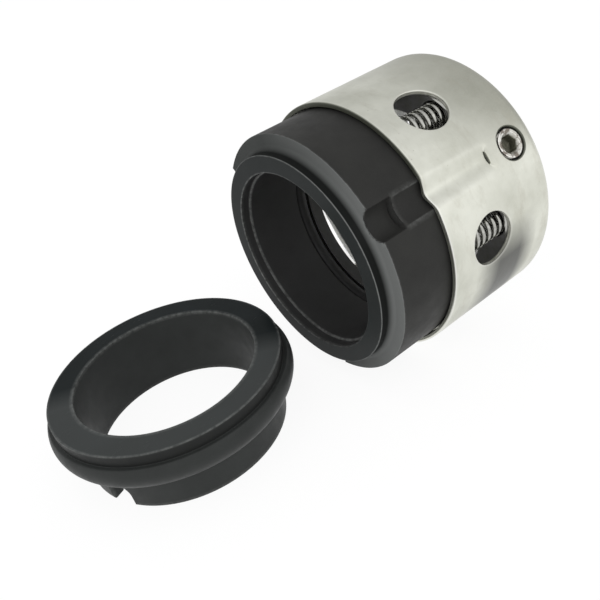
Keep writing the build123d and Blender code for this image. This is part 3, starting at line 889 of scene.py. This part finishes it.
def screw(number, angle):
    """Cup-point set screw with a hexagon socket and a rolled thread."""
    columns, centre = SCREW_COLUMNS, SCREW_AT - HEAD_LENGTH
    turn = np.arange(columns) * 2 * math.pi / columns
    top = SHELL_R - SCREW_SUNK
    hexagon = HEXAGON / np.cos(np.mod(turn, math.pi / 3) - math.pi / 6)
    rows, dark = [], []

    def add(height, radius, shade=0.0):
        radius = radius + 0 * turn
        rows.append(np.stack([centre + radius * np.cos(turn), radius * np.sin(turn), height + 0 * turn], -1))
        dark.append(shade + 0 * turn)

    for radius, height in ((0.5, 0.42), (1.0, 0.22), (1.5, 0.0), (CUP_R, 0.0)):
        add(SCREW_TIP + height, radius)
    # The thread gets a little painted shade.
    for height in np.arange(SCREW_TIP + 0.12, top - 0.18, 0.1):
        phase = np.mod(height / THREAD_PITCH - turn / (2 * math.pi), 1.0)
        groove = THREAD_DEPTH * ease((0.5 - np.abs(phase - 0.5) - 0.06) / 0.36)
        limit = min(CUP_R + (height - SCREW_TIP), SCREW_R, 2.95 + (top - 0.14 - height) * 0.6)
        add(height, np.minimum(SCREW_R - THREAD_DEPTH + groove, limit), 0.15)
    # The head from its rounded edge over a fine turned line to the socket's countersink; the line, the
    # countersink and the socket get painted shade.
    for radius, below, shade in ((2.95, 0.14, 0.0), (2.91, 0.05, 0.0), (2.84, 0.01, 0.0), (2.56, 0.0, 0.0),
                                 (2.50, 0.02, 0.6), (2.44, 0.0, 0.0), (2.30, 0.0, 0.0), (2.22, 0.03, 0.15),
                                 (2.12, 0.12, 0.3)):
        add(top - below, radius, shade)
    add(top - 0.28, np.maximum(1.90, hexagon), 0.45)
    add(top - 0.42, np.maximum(1.68, hexagon), 0.9)
    for below in (0.6, 1.2, 2.0, 2.2):
        add(top - below, hexagon, 1.0)
    add(top - 2.4, hexagon * 0.6, 1.0)
    add(top - 2.5, hexagon * 0.25, 1.0)
    count = len(rows)
    points = np.concatenate(rows + [[[centre, 0, SCREW_TIP + 0.6], [centre, 0, top - 2.55]]])
    faces = [list(f) for f in grid_faces(count, columns, False).reshape(-1, 4)]
    for k in range(columns):
        after, last = (k + 1) % columns, (count - 1) * columns
        faces.append([count * columns, k, after])
        faces.append([count * columns + 1, last + after, last + k])
    points = about_x(points, angle)
    dark = np.concatenate(dark + [np.array([0.0, 1.0])])
    piece(f"cup_screw_{number}", points, faces, "drive_unit", f"set_screw_{number}",
          [bright_screw], wear_and_painted_light=dark)


retainer_shell()
seal_ring()
seat_ring()
for number, angle in enumerate(SPRING_ANGLES, 1):
    coil(number, angle)
for number, angle in enumerate(DENT_ANGLES, 1):
    screw(number, angle)

for node, material in (("drive_collar", collar_steel), ("thrust_disc", disc_steel), ("shaft_o_ring", rubber)):
    mesh = frame["nodes"][node].data
    mesh.materials.clear()
    mesh.materials.append(material)


# Floor, light and camera ----------------------------------------------------------------

def floor():
    """A pale floor, white where it is seen directly or in a reflection, that keeps the shadows."""
    mesh = bpy.data.meshes.new("floor")
    r, z = 4.0, FLOOR * MM
    mesh.from_pydata([(-r, -r, z), (r, -r, z), (r, r, z), (-r, r, z)], [], [(0, 1, 2, 3)])
    obj = new_object("floor", mesh)
    m = bpy.data.materials.new("pale_floor")
    m.use_nodes = True
    t = m.node_tree
    t.nodes.remove(t.nodes["Principled BSDF"])
    paper = t.nodes.new("ShaderNodeBsdfDiffuse")
    paper.inputs["Color"].default_value = (FLOOR_PAPER, FLOOR_PAPER, FLOOR_PAPER, 1)
    glow = t.nodes.new("ShaderNodeEmission")
    glow.inputs["Strength"].default_value = FLOOR_GLOW
    rays = t.nodes.new("ShaderNodeLightPath")
    seen, also, share = (t.nodes.new("ShaderNodeMath") for _ in range(3))
    seen.operation = "ADD"
    t.links.new(rays.outputs["Is Camera Ray"], seen.inputs[0])
    t.links.new(rays.outputs["Is Glossy Ray"], seen.inputs[1])
    also.operation, also.use_clamp = "ADD", True
    t.links.new(seen.outputs[0], also.inputs[0])
    t.links.new(rays.outputs["Is Transmission Ray"], also.inputs[1])
    share.operation = "MULTIPLY"
    share.inputs[1].default_value = FLOOR_SHARE
    t.links.new(also.outputs[0], share.inputs[0])
    mixed = t.nodes.new("ShaderNodeMixShader")
    t.links.new(share.outputs[0], mixed.inputs[0])
    t.links.new(paper.outputs[0], mixed.inputs[1])
    t.links.new(glow.outputs[0], mixed.inputs[2])
    t.links.new(mixed.outputs[0], t.nodes["Material Output"].inputs["Surface"])
    mesh.materials.append(m)


def world():
    """A studio that is darker behind the object, and plain white where the camera sees it."""
    w = bpy.data.worlds.new("studio")
    bpy.context.scene.world = w
    w.use_nodes = True
    t = w.node_tree
    background = t.nodes["Background"]
    direction = t.nodes.new("ShaderNodeTexCoord")
    parts = t.nodes.new("ShaderNodeVectorMath")
    parts.operation = "DOT_PRODUCT"
    parts.inputs[1].default_value = Vector((0.45, 0.75, 0.40)).normalized()
    t.links.new(direction.outputs["Generated"], parts.inputs[0])
    level = t.nodes.new("ShaderNodeMath")
    level.operation = "MULTIPLY_ADD"
    level.inputs[1].default_value = level.inputs[2].default_value = 0.5
    t.links.new(parts.outputs["Value"], level.inputs[0])
    shade = t.nodes.new("ShaderNodeValToRGB")
    stops = ((0.0, 1.0), (0.30, 0.98), (0.40, 0.89), (0.56, 0.64), (0.77, 0.59), (0.92, 0.62), (1.0, 0.64))
    while len(shade.color_ramp.elements) < len(stops):
        shade.color_ramp.elements.new(0.5)
    for element, (position, value) in zip(shade.color_ramp.elements, stops):
        element.position, element.color = position, (value, value, value, 1)
    t.links.new(level.outputs[0], shade.inputs["Fac"])
    rays = t.nodes.new("ShaderNodeLightPath")
    pick = t.nodes.new("ShaderNodeMix")
    pick.data_type = "RGBA"
    t.links.new(rays.outputs["Is Camera Ray"], pick.inputs[0])
    t.links.new(shade.outputs["Color"], pick.inputs[6])
    pick.inputs[7].default_value = (WORLD_SEEN, WORLD_SEEN, WORLD_SEEN, 1)
    t.links.new(pick.outputs[2], background.inputs["Color"])
    background.inputs["Strength"].default_value = WORLD_STRENGTH


def lamp(name, location, target, size, watts):
    """A soft rectangular lamp."""
    light = bpy.data.lights.new(name, "AREA")
    light.shape, light.size, light.size_y, light.energy = "RECTANGLE", size[0], size[1], watts
    obj = new_object(name, light)
    obj.location = location
    obj.rotation_euler = (Vector(target) - Vector(location)).to_track_quat("-Z", "Y").to_euler()


def camera():
    """The photograph's viewpoint."""
    azimuth, elevation, roll = (math.radians(v) for v in CAMERA_ANGLES)
    ahead = Vector((-math.sin(azimuth) * math.cos(elevation), math.cos(azimuth) * math.cos(elevation),
                    -math.sin(elevation)))
    level = ahead.cross(Vector((0, 0, 1))).normalized()
    above = level.cross(ahead)
    right = math.cos(roll) * level + math.sin(roll) * above
    up = right.cross(ahead)
    data = bpy.data.cameras.new("camera")
    data.lens, data.sensor_width, data.clip_start = CAMERA_LENS, 36.0, 0.005
    obj = new_object("camera", data)
    turn = Matrix((right, up, -ahead)).transposed().to_4x4()
    obj.matrix_world = Matrix.Translation(Vector(CAMERA_PLACE) * MM) @ turn
    bpy.context.scene.camera = obj


floor()
world()
lamp("key", (0.25, -0.55, 0.45), (-0.03, 0, 0), (0.8, 0.8), 0.5)
lamp("top", (-0.15, -0.1, 0.7), (-0.04, 0, 0), (0.6, 0.6), 0.25)
camera()
bpy.context.scene.view_settings.view_transform = "Standard"
